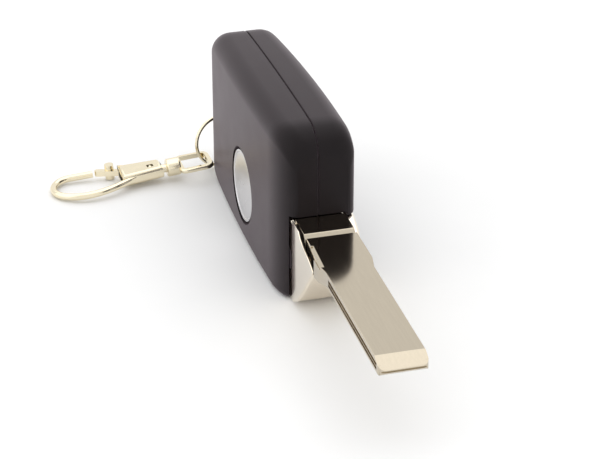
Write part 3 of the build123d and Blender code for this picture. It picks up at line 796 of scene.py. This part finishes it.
padlock = [(-1.8, -2.1), (1.8, -2.1), (1.8, 0.45), (-1.8, 0.45)]
car = [
    (-2.6, -1.5), (2.6, -1.5), (2.6, -0.4), (1.7, -0.15), (0.8, 0.9), (-1.0, 0.9), (-1.6, -0.15),
    (-2.6, -0.3),
]
bootLid = [(-1.35, 0.05), (-1.1, 0.45), (-2.7, 1.6), (-3.0, 1.2)]
closedLock = (padlock, shackle(lift=0, shortLeg=0))
openLock = (padlock, shackle(lift=0.5, shortLeg=0.95))
caps = {
    "lockCap": {"node": "lock_button", "y": 24.0, "face": 8.06, "mark": closedLock},
    "unlockCap": {"node": "unlock_button", "y": 34.4, "face": 7.85, "mark": openLock},
    "trunkCap": {"node": "trunk_button", "y": 44.8, "face": 7.48, "mark": (car, bootLid)},
}


# both outlines of a mark in one plate: the second is a hair thicker, so that they join cleanly
def markPlate(name, cap, near, far):
    plates = []
    for hair, outline in zip((0, 0.01), cap["mark"]):
        places = [(cap["y"] - up, capLook["markZ"] + right) for right, up in outline]
        plates.append(addPlate(name, places, near - hair, far + hair))
    joinCut(plates[0], plates[1], "UNION")
    return plates[0]


clearX = capLook["clearX"]
for capName, cap in caps.items():
    piece = copyNode(cap["node"], capName)
    simplify(piece)
    rimX = cap["face"] - capLook["rimDepth"]
    softenEdges(
        piece, capLook["rimRound"], segments=3, leastAngle=50,
        area=lambda places: within(places, 0, rimX, clearX),
    )
    floorX = cap["face"] - capLook["recess"]
    joinCut(piece, markPlate("recess", cap, floorX, clearX), "DIFFERENCE")
    smoothShade(piece, angle=40)
    finishPiece(piece, buttonRubber, cap["node"], "button_rubber", cap["node"])
    # the mark fills the recess to just under the cap's face
    mark = markPlate(cap["node"].split("_")[0] + "Mark", cap, floorX, clearX)
    cover = copyNode(cap["node"], "cover")
    startEditing(cover)
    moveBy(-capLook["sunk"], 0, 0)
    stopEditing()
    joinCut(mark, cover, "INTERSECT")
    finishPiece(mark, markPaint, cap["node"], "button_rubber")
    print(capName, "has", len(piece.data.polygons), "faces, its mark", len(mark.data.polygons))

# Snap hook: the CAD forms with cast, rounded edges
hookParts = {
    "eyeLoop": {"node": "swivel_eye", "body": "eye", "width": 0.36, "segments": 4, "least": 0.12},
    "hookCasting": {
        "node": "hook_body", "body": "hook", "width": 0.75, "segments": 5, "least": 3.0,
    },
    "gateLever": {"node": "hook_gate", "body": "gate", "width": 0.36, "segments": 4, "least": 1.0},
}
for pieceName, look in hookParts.items():
    piece = copyNode(look["node"], pieceName)
    simplify(piece)
    softenEdges(piece, look["width"], look["segments"], leastAngle=50, leastLength=look["least"])
    smoothShade(piece, angle=38)
    finishPiece(piece, metals["hookNickel"], look["body"], "hook_nickel", look["node"])
print("hook modelled")

# Key ring: its wire is a little finer in the photograph than the CAD wire
ringLook = {"finerBy": 0.16}
ringWire = copyNode("key_ring", "ringWire")
startEditing(ringWire)
bpy.ops.transform.shrink_fatten(value=-ringLook["finerBy"] * millimetre)
stopEditing()
smoothShade(ringWire, angle=40)
finishPiece(ringWire, metals["hookNickel"], "ring", "ring_steel", "key_ring")
print("ring modelled")

# Floor, sky and lamps
stageLook = {
    "floorSize": 6.0,
    "floorColor": (0.88, 0.88, 0.88),
    "floorPale": (0.90, 0.90, 0.90),
    "paperScale": 30,
    "skyForSurfaces": 0.93,
    "lampTarget": (0, 0.02, 0.02),
}
lamps = {
    "leftSoftbox": {"place": (-0.9, -0.1, 0.6), "size": (1.4, 1.0), "power": 2.2},
    "topSoftbox": {"place": (0.1, 0.3, 1.1), "size": (1.6, 1.6), "power": 5.0},
}
bpy.ops.object.select_all(action="DESELECT")
bpy.ops.mesh.primitive_plane_add(size=stageLook["floorSize"], location=(0, 0, 0))
floor = nameAndApply("floorSheet")
floorPaper, shader = newMaterial("floorPaper", stageLook["floorColor"], roughness=0.9)
paper = objectNoise(floorPaper, stageLook["paperScale"]).outputs["Fac"]
spreadColor(floorPaper, shader, paper, stageLook["floorColor"], stageLook["floorPale"])
floor.data.materials.append(floorPaper)

# the sky is white to the camera and to reflections, and gentler as light
world = scene.world or bpy.data.worlds.new("studioWorld")
scene.world = world
world.use_nodes = True
background = world.node_tree.nodes["Background"]
background.inputs["Color"].default_value = (1, 1, 1, 1)
rays = addNode(world, "ShaderNodeLightPath")
whiteRays = rays.outputs["Is Camera Ray"]
for rayKind in ("Is Glossy Ray", "Is Transmission Ray"):
    either = addNode(world, "ShaderNodeMath", operation="MAXIMUM")
    link(world, whiteRays, either.inputs[0])
    link(world, rays.outputs[rayKind], either.inputs[1])
    whiteRays = either.outputs[0]
skyLevel = addNode(world, "ShaderNodeMapRange")
skyLevel.inputs["To Min"].default_value = stageLook["skyForSurfaces"]
skyLevel.inputs["To Max"].default_value = 1.0
link(world, whiteRays, skyLevel.inputs["Value"])
link(world, skyLevel.outputs["Result"], background.inputs["Strength"])

for lampName, look in lamps.items():
    lampData = bpy.data.lights.new(lampName, "AREA")
    lampData.shape = "RECTANGLE"
    lampData.size, lampData.size_y = look["size"]
    lampData.energy = look["power"]
    lamp = bpy.data.objects.new(lampName, lampData)
    scene.collection.objects.link(lamp)
    ahead = Vector(stageLook["lampTarget"]) - Vector(look["place"])
    lamp.matrix_world = lookFrom(look["place"], ahead)
scene.view_settings.view_transform = "Standard"
print("stage lit")
